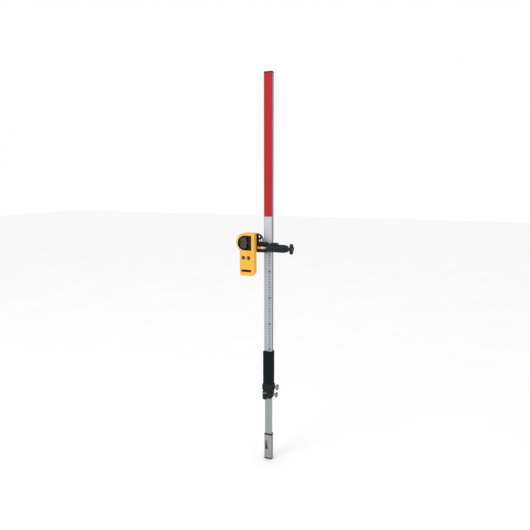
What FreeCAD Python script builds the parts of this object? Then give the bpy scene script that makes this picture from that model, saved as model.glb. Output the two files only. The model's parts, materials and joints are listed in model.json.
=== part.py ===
import FreeCAD, Part
import math
import os
import re

import Sketcher

V = FreeCAD.Vector
DOC = FreeCAD.newDocument("levelling_staff")

# Telescopic levelling staff with a laser detector clamped to it.
# Millimetres. +Z runs up the staff, the reading face looks along -Y, the origin is the middle of the foot's sole.
DIMENSIONS = {
    # outer section
    "tube_w": 30.6, "tube_d": 18.7, "tube_wall": 1.6, "tube_low": 284, "tube_high": 1450, "tube_round": 1.5,
    "face_w": 24.4, "face_deep": 0.4, "tape": 0.35,
    "red_low": 960, "scale_low": 451, "cap": 4, "cap_lip": 0.5, "cap_plug": 18,
    # inner section and foot
    "rod_w": 26, "rod_d": 14.5, "rod_wall": 1.4, "rod_low": 6, "rod_high": 1250, "rod_face_w": 19,
    "glide_gap": 0.15, "glide_tall": 25,
    "shoe_w": 30.4, "shoe_d": 18.5, "sole": 5, "shoe_high": 103, "rim_high": 107, "rim_lip": 0.3,
    "label_w": 18, "label_tall": 38, "label_low": 42, "label_x": -2, "label_deep": 0.6,
    # grip and locking collar
    "grip_w": 38.5, "grip_d": 26.1, "grip_high": 450, "grip_gap": 0.1,
    "collar_w": 39, "collar_d": 26.6, "collar_low": 259, "collar_high": 318, "band_w": 46, "band_d": 21,
    "band_low": 291, "boss_front": 17.4, "boss_low": 266, "boss_high": 289, "slit": 1.6, "rod_gap": 0.3,
    "upper_z": 305, "upper_head": 11.5, "upper_head_x": 31.5, "upper_neck": 4.5,
    "lower_z": 280, "lower_y": -12.6, "lower_head": 9.7, "lower_head_x": 32.5, "lower_neck": 3.2,
    "head_thick": 7, "pad_r": 4, "screw_gap": 0.35,
    # clamp
    "arm_y": -25.4, "arm_z": 848.2, "barrel_r": 14.5, "barrel_low": 3, "barrel_high": 81, "barrel_end_r": 11.5,
    "spindle_r": 3.5, "sleeve_r": 5.9, "guide_r": 2.4, "guide_y": -15.2, "bracket_front": -27.2,
    "bracket_back": -10.8, "plate": 5, "plate_top": 899.5, "jaw": 5, "jaw_pad": 2, "jaw_back": 9, "pad_gap": 0.05,
    "knob_low": 88, "knob_high": 101, "core_r": 11, "lobe_out": 12.5, "lobe_r": 6.3, "hub_r": 5.4,
    "insert_r": 4.7, "insert_long": 11.7,
    # detector
    "case_right": -36.5, "case_left": -93.2, "case_low": 746, "head_x": -71.5, "head_z": 867.5, "head_r": 35.5,
    "case_front": -54.3, "case_back": -27.3, "seam_y": -40.8, "seam": 0.4, "case_wall": 2.2, "case_round": 3,
    "window_x": -73, "window_z": 866.4, "window_r": 27, "window_right": -47, "lens": 1.5,
    "button_r": 6.5, "button_gap": 0.4, "button_proud": 1,
    "power_x": -78.3, "volume_x": -58.6, "button_z": 812.4,
    "mount_x": -62, "mount_z": 862, "mount_r": 3.1,
    "door_left": -84, "door_right": -45, "door_low": 757, "door_high": 806, "door_thick": 2, "door_gap": 0.4,
}
SHEET = DOC.addObject("Spreadsheet::Sheet", "dim")
for row, (alias, number) in enumerate(DIMENSIONS.items(), 1):
    SHEET.set(f"A{row}", alias)
    SHEET.set(f"B{row}", str(number))
    SHEET.setAlias(f"B{row}", alias)
DOC.recompute()

NODES = []


def bound(expression):
    """An expression whose sheet names point at the spreadsheet."""
    return re.sub(r"[a-z]\w*", lambda word: "dim." + word[0] if word[0] in DIMENSIONS else word[0], str(expression))


def value(expression):
    """The number an expression comes to with the sheet's values."""
    numbers = {alias: SHEET.get(alias) for alias in DIMENSIONS}
    total = FreeCAD.Units.parseQuantity(
        re.sub(r"[a-z]\w*", lambda word: f"({numbers[word[0]]!r})" if word[0] in numbers else word[0], str(expression))
    )
    return total.Value


def bind(thing, **expressions):
    for prop, expression in expressions.items():
        thing.setExpression(prop, bound(expression))


def place(thing, x, y, z, axis="Z"):
    """Put an object's own origin at (x, y, z), with its height along the given axis."""
    turns = {"Z": FreeCAD.Rotation(), "X": FreeCAD.Rotation(V(0, 1, 0), 90), "Y": FreeCAD.Rotation(V(1, 0, 0), -90)}
    thing.Placement = FreeCAD.Placement(V(0, 0, 0), turns[axis])
    for letter, expression in zip("xyz", (x, y, z)):
        thing.setExpression(f"Placement.Base.{letter}", bound(expression))
    return thing


def block(x0, x1, y0, y1, z0, z1):
    """A box between two corners, each side given as an expression."""
    thing = DOC.addObject("Part::Box", "block")
    bind(thing, Length=f"({x1}) - ({x0})", Width=f"({y1}) - ({y0})", Height=f"({z1}) - ({z0})")
    return place(thing, x0, y0, z0)


def slab(width, depth, z0, z1):
    """A box centred on the staff's axis."""
    return block(f"-({width}) / 2", f"({width}) / 2", f"-({depth}) / 2", f"({depth}) / 2", z0, z1)


def rod(radius, start, end, across, along="X"):
    """A cylinder from start to end along an axis; across gives its other two coordinates in order."""
    thing = DOC.addObject("Part::Cylinder", "rod")
    bind(thing, Radius=radius, Height=f"({end}) - ({start})")
    spot = {"X": (start, *across), "Y": (across[0], start, across[1]), "Z": (*across, start)}[along]
    return place(thing, *spot, along)


def taper(radius0, radius1, start, end, across, along="X"):
    """A cone between two radii."""
    thing = DOC.addObject("Part::Cone", "taper")
    bind(thing, Radius1=radius0, Radius2=radius1, Height=f"({end}) - ({start})")
    spot = {"X": (start, *across), "Y": (across[0], start, across[1]), "Z": (*across, start)}[along]
    return place(thing, *spot, along)


def join(*things):
    if len(things) == 1:
        return things[0]
    thing = DOC.addObject("Part::MultiFuse", "join")
    thing.Shapes = list(things)
    thing.Refine = True
    return thing


def cut(base, *tools):
    thing = DOC.addObject("Part::Cut", "cut")
    thing.Base = base
    thing.Tool = join(*tools)
    thing.Refine = True
    return thing


def group(*things):
    """Separate solids that share one node."""
    thing = DOC.addObject("Part::Compound", "group")
    thing.Links = list(things)
    return thing


def rounded(base, radius, picks):
    """Fillet the edges that a test picks."""
    DOC.recompute()
    thing = DOC.addObject("Part::Fillet", "rounded")
    thing.Base = base
    size = value(radius)
    thing.Edges = [(index, size, size) for index, edge in enumerate(base.Shape.Edges, 1) if picks(edge)]
    return thing


def chamfered(base, size, picks):
    """Chamfer the edges that a test picks."""
    DOC.recompute()
    thing = DOC.addObject("Part::Chamfer", "chamfered")
    thing.Base = base
    leg = value(size)
    thing.Edges = [(index, leg, leg) for index, edge in enumerate(base.Shape.Edges, 1) if picks(edge)]
    return thing


def runs(edge, axis):
    """True when a straight edge runs along an axis."""
    ends = [vertex.Point for vertex in edge.Vertexes]
    if len(ends) != 2 or edge.Curve.TypeId != "Part::GeomLine":
        return False
    step = ends[1] - ends[0]
    return abs(abs(getattr(step, axis)) - step.Length) < 1e-6


def at(edge, **where):
    """True when an edge's box lies at the given coordinates."""
    box = edge.BoundBox
    sides = {"x": (box.XMin, box.XMax), "y": (box.YMin, box.YMax), "z": (box.ZMin, box.ZMax)}
    return all(abs(side - value(spot)) < 0.01 for name, spot in where.items() for side in sides[name])


def node(label, thing):
    """Name a finished sub-part."""
    thing.Label = label
    NODES.append(thing)
    return thing


# PartDesign helpers


def sketch_on(body, plane, offset="0"):
    """A sketch on one of the body's own origin planes, lifted along its normal."""
    sketch = body.newObject("Sketcher::SketchObject", body.Name + "_sketch")
    support = [feature for feature in body.Origin.OriginFeatures if feature.Role == plane][0]
    sketch.AttachmentSupport = (support, [""])
    sketch.MapMode = "FlatFace"
    sketch.setExpression("AttachmentOffset.Base.z", bound(offset))
    return sketch


def pin_point(sketch, edge, end, u, v):
    """Hold a sketch point at coordinates read from the sheet."""
    for kind, expression in (("DistanceX", u), ("DistanceY", v)):
        index = sketch.addConstraint(Sketcher.Constraint(kind, -1, 1, edge, end, value(expression)))
        sketch.setExpression(f"Constraints[{index}]", bound(expression))


def draw_polygon(sketch, points):
    """A closed polygon whose corners are expressions."""
    spots = [V(value(u), value(v), 0) for u, v in points]
    for index, spot in enumerate(spots):
        sketch.addGeometry(Part.LineSegment(spot, spots[(index + 1) % len(spots)]), False)
    for index, (u, v) in enumerate(points):
        sketch.addConstraint(Sketcher.Constraint("Coincident", index, 2, (index + 1) % len(points), 1))
        pin_point(sketch, index, 1, u, v)


def draw_rectangle(sketch, width, depth):
    half_w, half_d = f"({width}) / 2", f"({depth}) / 2"
    draw_polygon(sketch, [(f"-{half_w}", f"-{half_d}"), (half_w, f"-{half_d}"), (half_w, half_d),
                          (f"-{half_w}", half_d)])


def draw_circle(sketch, radius, u="0", v="0"):
    edge = sketch.addGeometry(Part.Circle(V(value(u), value(v), 0), V(0, 0, 1), value(radius)), False)
    pin_point(sketch, edge, 3, u, v)
    index = sketch.addConstraint(Sketcher.Constraint("Radius", edge, value(radius)))
    sketch.setExpression(f"Constraints[{index}]", bound(radius))


def draw_case(sketch, inset):
    """The detector's outline: a straight body with chamfered feet under a half-round head."""
    right, left = f"case_right - ({inset})", f"case_left + ({inset})"
    low, top = f"case_low + ({inset})", f"head_z + head_r - ({inset})"
    radius = f"head_r - ({inset})"
    drop = math.sqrt(value(radius) ** 2 - (value(left) - value("head_x")) ** 2)
    corners = [(left, f"head_z - {drop!r}"), (left, f"{low} + 5"), (f"{left} + 5", low), (f"{right} - 9", low),
               (right, f"{low} + 11"), (right, top), ("head_x", top)]
    spots = [V(value(u), value(v), 0) for u, v in corners]
    for start, end in zip(spots, spots[1:]):
        sketch.addGeometry(Part.LineSegment(start, end), False)
    middle = V(value("head_x"), value("head_z"), 0)
    circle = Part.Circle(middle, V(0, 0, 1), value(radius))
    low_angle = math.atan2(spots[0].y - middle.y, spots[0].x - middle.x)
    arc = sketch.addGeometry(Part.ArcOfCircle(circle, math.pi / 2, low_angle + 2 * math.pi), False)
    for index, (u, v) in enumerate(corners):
        last = index == len(corners) - 1
        pin_point(sketch, arc if last else index, 1, u, v)
        if index < len(corners) - 2:
            sketch.addConstraint(Sketcher.Constraint("Coincident", index, 2, index + 1, 1))
    sketch.addConstraint(Sketcher.Constraint("Coincident", len(corners) - 2, 2, arc, 1))
    sketch.addConstraint(Sketcher.Constraint("Coincident", arc, 2, 0, 1))


def draw_window(sketch, inset, right="window_right"):
    """The display window's outline: a half circle on the left, square on the right."""
    radius = f"window_r - ({inset})"
    edge = f"{right} - ({inset})"
    corners = [("window_x", f"window_z - ({radius})"), (edge, f"window_z - ({radius})"), (edge, f"window_z + {radius}"),
               ("window_x", f"window_z + {radius}")]
    spots = [V(value(u), value(v), 0) for u, v in corners]
    for start, end in zip(spots, spots[1:]):
        sketch.addGeometry(Part.LineSegment(start, end), False)
    circle = Part.Circle(V(value("window_x"), value("window_z"), 0), V(0, 0, 1), value(radius))
    arc = sketch.addGeometry(Part.ArcOfCircle(circle, math.pi / 2, 3 * math.pi / 2), False)
    for index, (u, v) in enumerate(corners[:3]):
        pin_point(sketch, index, 1, u, v)
        if index < 2:
            sketch.addConstraint(Sketcher.Constraint("Coincident", index, 2, index + 1, 1))
    pin_point(sketch, arc, 1, *corners[3])
    sketch.addConstraint(Sketcher.Constraint("Coincident", 2, 2, arc, 1))
    sketch.addConstraint(Sketcher.Constraint("Coincident", arc, 2, 0, 1))


def add_pad(body, sketch, length, reverse=False):
    pad = body.newObject("PartDesign::Pad", body.Name + "_pad")
    pad.Profile = sketch
    pad.Reversed = reverse
    bind(pad, Length=length)
    DOC.recompute()
    return pad


def add_pocket(body, sketch, length, reverse=False):
    """A pocket that has to take material away."""
    before = body.Shape.Volume
    pocket = body.newObject("PartDesign::Pocket", body.Name + "_pocket")
    pocket.Profile = sketch
    pocket.Reversed = reverse
    bind(pocket, Length=length)
    DOC.recompute()
    if not body.Shape.Volume < before - 1e-3:
        raise RuntimeError(f"{body.Label}: a pocket removes nothing")
    return pocket


def add_fillet(body, radius, picks):
    base = body.Tip
    names = [f"Edge{index}" for index, edge in enumerate(base.Shape.Edges, 1) if picks(edge)]
    fillet = body.newObject("PartDesign::Fillet", body.Name + "_fillet")
    fillet.Base = (base, names)
    bind(fillet, Radius=radius)
    DOC.recompute()
    return fillet


def new_body(label):
    body = DOC.addObject("PartDesign::Body", label)
    node(label, body)
    return body


# Staff


def channel_tube(label, width, depth, wall, low, high, channel, corner):
    """A rectangular tube with a shallow channel down its front and its back."""
    body = new_body(label)
    outline = sketch_on(body, "XY_Plane", low)
    draw_rectangle(outline, width, depth)
    add_pad(body, outline, f"({high}) - ({low})")
    add_fillet(body, corner, lambda edge: runs(edge, "z"))
    for side in ("-", ""):
        channel_cut = sketch_on(body, "XY_Plane", low)
        near, far = f"{side}(({depth}) / 2 - face_deep)", f"{side}(({depth}) / 2 + 1)"
        draw_polygon(channel_cut, [(f"-({channel}) / 2", near), (f"({channel}) / 2", near),
                                   (f"({channel}) / 2", far), (f"-({channel}) / 2", far)])
        add_pocket(body, channel_cut, f"({high}) - ({low})", True)
    bore = sketch_on(body, "XY_Plane", low)
    draw_rectangle(bore, f"({width}) - 2 * ({wall})", f"({depth}) - 2 * ({wall})")
    add_pocket(body, bore, f"({high}) - ({low})", True)
    return body


def outer_tube():
    """Outer section, with a side hole for the upper lock's pressure pad and one each side for the cap's pins."""
    body = channel_tube("outer_tube", "tube_w", "tube_d", "tube_wall", "tube_low", "tube_high", "face_w",
                        "tube_round")
    hole = sketch_on(body, "YZ_Plane", "tube_w / 2 + 1")
    draw_circle(hole, "pad_r + screw_gap", "0", "upper_z")
    add_pocket(body, hole, "tube_wall + 2")
    pin_hole = sketch_on(body, "YZ_Plane", "tube_w / 2 + 1")
    draw_circle(pin_hole, "1.3", "0", "tube_high - cap_plug / 2")
    add_pocket(body, pin_hole, "tube_w + 2")


def inner_tube():
    channel_tube("inner_tube", "rod_w", "rod_d", "rod_wall", "rod_low", "rod_high", "rod_face_w", "tube_round")


def face_strips():
    """Red tape that wraps the whole upper face, and the graduated tape in the channel."""
    front, floor = "-tube_d / 2", "-tube_d / 2 + face_deep"
    covers = block("-tube_w / 2 + tube_round", "tube_w / 2 - tube_round", f"{front} - tape", floor, "red_low",
                   "tube_high - 1")
    ribs = [block(*sides, front, f"{front} + 5", "red_low - 1", "tube_high")
            for sides in (("-tube_w / 2", "-face_w / 2"), ("face_w / 2", "tube_w / 2"))]
    channel = block("-face_w / 2 + tape", "face_w / 2 - tape", f"{front} - 2", f"{floor} - tape", "red_low - 1",
                    "tube_high")
    node("red_face_strip", cut(covers, channel, *ribs))
    node("scale_strip", block("-face_w / 2 + 0.1", "face_w / 2 - 0.1", f"{floor} - tape", floor, "scale_low",
                              "red_low - 2"))


def top_cap():
    """Push-in end cap with a lip over the tube's edge."""
    lid = slab("tube_w + 2 * cap_lip", "tube_d + 2 * cap_lip", "tube_high", "tube_high + cap")
    lid = rounded(lid, "1.2", lambda edge: runs(edge, "z") or at(edge, z="tube_high + cap"))
    plug = slab("tube_w - 2 * tube_wall - 0.2", "tube_d - 2 * tube_wall - 0.2", "tube_high - cap_plug",
                "tube_high + 1")
    drains = [rod("1.3", f"{side}tube_w / 2 + {inset}", f"{side}tube_w / 2 + {inset} + 4",
                  ("0", "tube_high - cap_plug / 2"))
              for side, inset in (("-", "1"), ("", "-5"))]
    node("top_cap", cut(join(lid, plug), *drains))
    heads = [join(rod("1.2", f"{side}tube_w / 2 - {tail}", f"{side}tube_w / 2 + {4.6 - tail}",
                      ("0", "tube_high - cap_plug / 2")),
                  rod("2.2", f"{side}tube_w / 2 - {dome}", f"{side}tube_w / 2 + {0.8 - dome}",
                      ("0", "tube_high - cap_plug / 2")))
             for side, tail, dome in (("-", 0.1, 0.8), ("", 4.5, 0))]
    node("top_cap_pins", group(*heads))


def inner_glide():
    """Plastic glide on top of the inner section, which centres it in the outer one."""
    fit_w, fit_d = "tube_w - 2 * tube_wall - 2 * glide_gap", "tube_d - 2 * tube_wall - 2 * glide_gap"
    head = slab(fit_w, fit_d, "rod_high", "rod_high + glide_tall")
    plug = slab("rod_w - 2 * rod_wall - 0.2", "rod_d - 2 * rod_wall - 0.2", "rod_high - 20", "rod_high + 1")
    bleed = rod("3", "rod_high - 21", "rod_high + glide_tall + 1", ("0", "0"), "Z")
    node("inner_glide", cut(join(head, plug), bleed))


def foot():
    """Cast shoe, its rubber rim, the flat sole, a plain label and the screws that hold the shoe on."""
    bore_w, bore_d = "rod_w + 0.2", "rod_d + 0.2"
    shoe = rounded(slab("shoe_w", "shoe_d", "sole", "shoe_high"), "tube_round", lambda edge: runs(edge, "z"))
    bore = slab(bore_w, bore_d, "rod_low", "shoe_high + 1")
    recess = block("label_x - label_w / 2", "label_x + label_w / 2", "-shoe_d / 2 - 1",
                   "-shoe_d / 2 + label_deep", "label_low", "label_low + label_tall")
    screw_holes = [rod("1.3", "shoe_d / 2 - 4", "shoe_d / 2 + 1", ("0", height), "Y") for height in ("22", "84")]
    node("foot_shoe", cut(shoe, bore, recess, *screw_holes))
    rim = rounded(slab("shoe_w + 2 * rim_lip", "shoe_d + 2 * rim_lip", "shoe_high", "rim_high"), "tube_round",
                  lambda edge: runs(edge, "z"))
    node("foot_rim", cut(rim, slab(bore_w, bore_d, "shoe_high - 1", "rim_high + 1")))
    sole = slab("shoe_w", "shoe_d", "0", "sole")
    node("foot_sole", rounded(sole, "tube_round", lambda edge: runs(edge, "z")))
    node("foot_label", block("label_x - label_w / 2 + 0.1", "label_x + label_w / 2 - 0.1",
                             "-shoe_d / 2 + label_deep - 0.5", "-shoe_d / 2 + label_deep", "label_low + 0.1",
                             "label_low + label_tall - 0.1"))
    screws = [join(rod("1.2", "shoe_d / 2 - 1.9", "shoe_d / 2 + 0.5", ("0", height), "Y"),
                   rod("2.6", "shoe_d / 2", "shoe_d / 2 + 0.9", ("0", height), "Y")) for height in ("22", "84")]
    node("foot_screws", group(*screws))


def grip_sleeve():
    sleeve = rounded(slab("grip_w", "grip_d", "collar_high", "grip_high"), "2.2",
                     lambda edge: runs(edge, "z") or at(edge, z="grip_high"))
    core = slab("tube_w + 2 * grip_gap", "tube_d + 2 * grip_gap", "collar_high - 1", "grip_high + 1")
    node("grip_sleeve", cut(sleeve, core))


def collar_housing():
    """Moulded collar: a socket for the outer section over a split clamp for the inner one."""
    trunk = chamfered(slab("collar_w", "collar_d", "collar_low", "collar_high"), "7",
                      lambda edge: at(edge, x="collar_w / 2", z="collar_low"))
    trunk = rounded(trunk, "2.5", lambda edge: runs(edge, "z"))
    band = chamfered(slab("band_w", "band_d", "band_low", "collar_high - 2"), "2.4", lambda edge: runs(edge, "y"))
    boss = block("-collar_w / 2", "collar_w / 2 - 3", "-boss_front", "-rod_d / 2 - 2.4", "boss_low", "boss_high")
    boss = chamfered(boss, "3", lambda edge: at(edge, y="-boss_front", z="boss_high"))
    leg = rounded(block("-collar_w / 2", "-4", "-boss_front", "-rod_d / 2 - 2.4", "collar_low - 4",
                        "boss_low + 1"), "3", lambda edge: runs(edge, "z") and at(edge, y="-boss_front"))
    hub = rod("8", "band_w / 2 - 2", "band_w / 2 + 2.6", ("0", "upper_z"))
    ear = rod("6.5", "collar_w / 2 - 4", "collar_w / 2 + 5", ("lower_y", "lower_z"))
    socket = slab("tube_w + 0.1", "tube_d + 0.1", "tube_low", "collar_high + 1")
    throat = slab("rod_w + 2 * rod_gap", "rod_d + 2 * rod_gap", "collar_low - 1", "tube_low + 1")
    slit = block("-slit / 2", "slit / 2", "-boss_front - 1", "-rod_d / 2", "collar_low - 1", "tube_low - 2")
    notch = block("-18", "-3", "-boss_front - 1", "lower_y + 1", "lower_z - 4.6", "lower_z + 4.6")
    upper_bore = rod("5.6", "rod_w / 2", "band_w / 2 + 4", ("0", "upper_z"))
    lower_bore = rod("lower_neck + screw_gap", "-16", "collar_w / 2 + 6", ("lower_y", "lower_z"))
    nut_seat = block("-17.6", "-12.4", "lower_y - 5.2", "lower_y + 3.4", "lower_z - 4.7", "lower_z + 4.7")
    fixings = [rod("1.3", "tube_d / 2 - 0.5", "collar_d / 2 + 1", (side + "12", "band_low + 6"), "Y")
               for side in ("-", "")]
    node("collar_housing", cut(join(trunk, band, boss, leg, hub, ear), socket, throat, slit, notch, upper_bore,
                               lower_bore, nut_seat, *fixings))
    screws = [join(rod("1.2", "tube_d / 2 + 0.1", "collar_d / 2 + 0.5", (side + "12", "band_low + 6"), "Y"),
                   rod("2.6", "collar_d / 2", "collar_d / 2 + 1", (side + "12", "band_low + 6"), "Y"))
              for side in ("-", "")]
    node("collar_screws", group(*screws))


def upper_lock():
    """Thumb screw, its threaded bush and the pad that presses on the inner section."""
    spot = ("0", "upper_z")
    node("upper_lock_bush", cut(rod("5.5", "tube_w / 2 + 2.2", "band_w / 2 + 2.6", spot),
                                rod("3.05", "tube_w / 2", "band_w / 2 + 4", spot)))
    node("upper_lock_pad", rod("pad_r", "rod_w / 2 + 0.05", "rod_w / 2 + 2.6", spot))
    shank = rod("3", "rod_w / 2 + 2.6", "upper_head_x", spot)
    neck = rod("upper_neck", "band_w / 2 + 4.6", "upper_head_x", spot)
    node("upper_screw_shank", join(shank, neck))
    node("upper_screw_head", thumb_head("upper_head", "upper_head_x", spot))


def lower_lock():
    """Cross screw that squeezes the collar's split foot, with its square nut and washer."""
    spot = ("lower_y", "lower_z")
    nut = block("-17.4", "-12.6", "lower_y - 4.4", "lower_y + 3.2", "lower_z - 4.4", "lower_z + 4.4")
    node("lower_lock_nut", cut(nut, rod("lower_neck - 0.4", "-18", "-12", spot)))
    node("lower_lock_washer", cut(rod("6", "collar_w / 2 + 5.1", "collar_w / 2 + 6.3", spot),
                                  rod("lower_neck", "collar_w / 2 + 4", "collar_w / 2 + 7", spot)))
    node("lower_screw_shank", join(rod("lower_neck - 0.45", "-17.5", "-10", spot),
                                   rod("lower_neck", "-11", "lower_head_x", spot),
                                   rod("lower_neck + 1", "collar_w / 2 + 6.3", "lower_head_x", spot)))
    node("lower_screw_head", thumb_head("lower_head", "lower_head_x", spot))


def thumb_head(radius, start, spot):
    """A turned head with a dished face and a finger groove round its rim."""
    disc = rod(radius, start, f"{start} + head_thick", spot)
    disc = rounded(disc, "1.2", lambda edge: edge.Curve.TypeId == "Part::GeomCircle")
    dish = rod(f"{radius} - 3.2", f"{start} + head_thick - 1.2", f"{start} + head_thick + 1", spot)
    stud = rod("2.6", f"{start} + head_thick - 2", f"{start} + head_thick - 0.4", spot)
    groove = cut(rod(f"{radius} + 1", f"{start} + 2.6", f"{start} + 4.4", spot),
                 rod(f"{radius} - 0.9", f"{start} + 2", f"{start} + 5", spot))
    return join(cut(disc, dish, groove), stud)


# Clamp


def opening(label, points):
    """A cutter through the bracket's plate, from corners in X and Z."""
    cutter = new_body(label)
    NODES.remove(cutter)
    outline = sketch_on(cutter, "XZ_Plane", "-(bracket_front + plate + 1)")
    draw_polygon(outline, points)
    add_pad(cutter, outline, "plate + 2")
    return cutter


def clamp_bracket():
    """Bracket behind the detector: an open quarter-round plate, a channel for the spindle and the fixed jaw."""
    front, back, jaw_x = "bracket_front", "bracket_back", "-tube_w / 2 - pad_gap - jaw_pad"
    plate = block("case_left + 9", "-11", front, f"{front} + plate", "arm_z - 17", "plate_top")
    plate = rounded(plate, "24", lambda edge: runs(edge, "y") and at(edge, x="-11", z="plate_top"))
    lower = opening("lower_opening", [("case_right + 5.5", "plate_top - 29"), ("-15", "plate_top - 29"),
                                      ("-15", "plate_top - 16.5"), ("-19.5", "plate_top - 13")])
    upper = opening("upper_opening", [("case_right + 2.5", "plate_top - 26"), ("-22.5", "plate_top - 10"),
                                      ("-28", "plate_top - 5"), ("case_right + 2.5", "plate_top - 5")])
    channel = block("case_right + 0.5", "barrel_low - 0.5", front, back, "arm_z - 17", "arm_z + 19")
    channel = chamfered(channel, "2", lambda edge: runs(edge, "x") and at(edge, y=front))
    bump = block("-9", "-1", f"{front} + 2", f"{back} - 4", "arm_z + 18", "arm_z + 21")
    trough = block("case_right + 3.5", "barrel_low", f"{front} - 1", f"{back} - 1.8", "arm_z - 9", "arm_z + 9")
    jaw = block(f"{jaw_x} - jaw", jaw_x, f"{back} - 2", "jaw_back", "arm_z - 13", "arm_z + 15")
    jaw = rounded(jaw, "3", lambda edge: runs(edge, "x"))
    web = block("case_right + 3", jaw_x, f"{back} - 6", f"{back} + 3", "arm_z - 13", "arm_z + 15")
    spindle_seat = rod("spindle_r", "case_right", "case_right + 9", ("arm_y", "arm_z"))
    guide_seat = rod("guide_r", "case_right", "case_right + 9", ("guide_y", "arm_z"))
    screw_hole = rod("mount_r + 0.4", f"{front} - 1", f"{front} + plate + 1", ("mount_x", "mount_z"), "Y")
    node("clamp_bracket", cut(join(plate, channel, bump, web, jaw), trough, spindle_seat, guide_seat, screw_hole,
                              lower, upper))


def clamp_rods():
    """Threaded spindle with its fixed sleeve and bush, and the plain rod that keeps the jaws in line."""
    spot, guide = ("arm_y", "arm_z"), ("guide_y", "arm_z")
    collar = rod("sleeve_r + 0.5", "case_right + 4", "case_right + 7", spot)
    sleeve = rod("sleeve_r", "case_right + 6", "-8", spot)
    node("clamp_spindle", join(rod("spindle_r", "case_right + 1", "knob_high - 2", spot), sleeve, collar))
    node("spindle_bush", cut(rod("sleeve_r - 0.3", "-8", "barrel_low - 0.3", spot),
                             rod("spindle_r + 0.05", "-9", "barrel_low", spot)))
    node("guide_rod", rod("guide_r", "case_right + 1", "barrel_high - 16", guide))


def sliding_jaw():
    """Moving jaw with the long barrel that runs on the spindle and the guide rod."""
    spot, jaw_x = ("arm_y", "arm_z"), "tube_w / 2 + pad_gap + jaw_pad"
    barrel = join(rod("barrel_r", "barrel_low", "barrel_high - 13", spot),
                  taper("barrel_r", "barrel_end_r", "barrel_high - 13", "barrel_high", spot))
    barrel = rounded(barrel, "2.5", lambda edge: at(edge, x="barrel_low"))
    finger = block(jaw_x, f"{jaw_x} + jaw", "arm_y", "jaw_back", "arm_z - 13", "arm_z + 15")
    finger = rounded(finger, "3", lambda edge: runs(edge, "x"))
    knuckle = block(jaw_x, "41.5", "arm_y - 6", "bracket_back + 1", "arm_z - 11", "arm_z + 19")
    knuckle = rounded(knuckle, "3", lambda edge: at(edge, z="arm_z + 19"))
    groove = block("24", "26", "arm_y - 7", "bracket_back + 2", "arm_z + 15.5", "arm_z + 20")
    spindle_bore = rod("spindle_r + 0.3", "barrel_low - 1", "barrel_high + 1", spot)
    guide_bore = rod("guide_r + 0.05", "barrel_low - 1", "barrel_high - 12", ("guide_y", "arm_z"))
    node("sliding_jaw", cut(join(barrel, finger, knuckle), groove, spindle_bore, guide_bore))
    node("thrust_washer", cut(rod("hub_r + 1.2", "barrel_high", "barrel_high + 1.2", spot),
                              rod("spindle_r + 0.3", "barrel_high - 1", "barrel_high + 2", spot)))


def jaw_pads():
    """Rubber faces of the two jaws."""
    face, deep = "tube_w / 2 + pad_gap", "tube_w / 2 + pad_gap + jaw_pad"
    sides = ("bracket_back + 2", "jaw_back - 1", "arm_z - 11", "arm_z + 13")
    node("fixed_jaw_pad", block(f"-({deep})", f"-({face})", *sides))
    node("sliding_jaw_pad", block(face, deep, *sides))


def star_knob():
    """Four-lobed knob on the spindle's end, with its threaded brass insert."""
    spot = ("arm_y", "arm_z")
    core = rod("core_r", "knob_low", "knob_high - 2", spot)
    dome = taper("core_r", "core_r - 4", "knob_high - 2", "knob_high", spot)
    lobes = [rod("lobe_r", "knob_low + 1", "knob_high - 1", (f"arm_y {y}", f"arm_z {z}"))
             for y, z in (("- lobe_out", ""), ("+ lobe_out", ""), ("", "- lobe_out"), ("", "+ lobe_out"))]
    hub = rod("hub_r", "barrel_high + 1.3", "knob_low + 1", spot)
    bore = rod("spindle_r + 0.3", "barrel_high", "knob_high - 1", spot)
    seat = rod("insert_r", "barrel_high + 1", "barrel_high + 1.3 + insert_long", spot)
    node("star_knob", cut(join(core, dome, hub, *lobes), bore, seat))
    node("knob_insert", cut(rod("insert_r", "barrel_high + 1.3", "barrel_high + 1.3 + insert_long", spot),
                            rod("spindle_r + 0.05", "barrel_high", "barrel_high + 2 + insert_long", spot)))


def mount_screw():
    """Thumb screw that holds the detector to the bracket, its washer and the insert in the case."""
    spot, face = ("mount_x", "mount_z"), "bracket_front + plate"
    node("mount_washer", cut(rod("7", f"{face} + 0.05", f"{face} + 1.2", spot, "Y"),
                             rod("mount_r", face, f"{face} + 2", spot, "Y")))
    node("mount_screw_shank", rod("mount_r - 0.05", "case_back - 5", f"{face} + 4", spot, "Y"))
    knob = rod("9.5", f"{face} + 1.2", f"{face} + 10", spot, "Y")
    knob = rounded(knob, "1.5", lambda edge: edge.Curve.TypeId == "Part::GeomCircle")
    flutes = []
    for turn in range(10):
        dx, dz = 10.4 * math.cos(turn * math.pi / 5), 10.4 * math.sin(turn * math.pi / 5)
        flutes.append(rod("1.9", face, f"{face} + 11", (f"mount_x + {dx:.6f}", f"mount_z + {dz:.6f}"), "Y"))
    node("mount_screw_knob", cut(knob, rod("mount_r - 0.05", face, f"{face} + 4", spot, "Y"), *flutes))
    node("mount_insert", cut(rod("5", "case_back - 7", "case_back", spot, "Y"),
                             rod("mount_r", "case_back - 6", "case_back + 1", spot, "Y")))


# Detector

BOSS_SPOTS = (("case_right - 5.8", "head_z + head_r - 6"), ("case_right - 5.8", "case_low + 14"),
              ("case_left + 5.8", "case_low + 10"), ("case_left + 5.8", "head_z - 38.4"))


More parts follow.
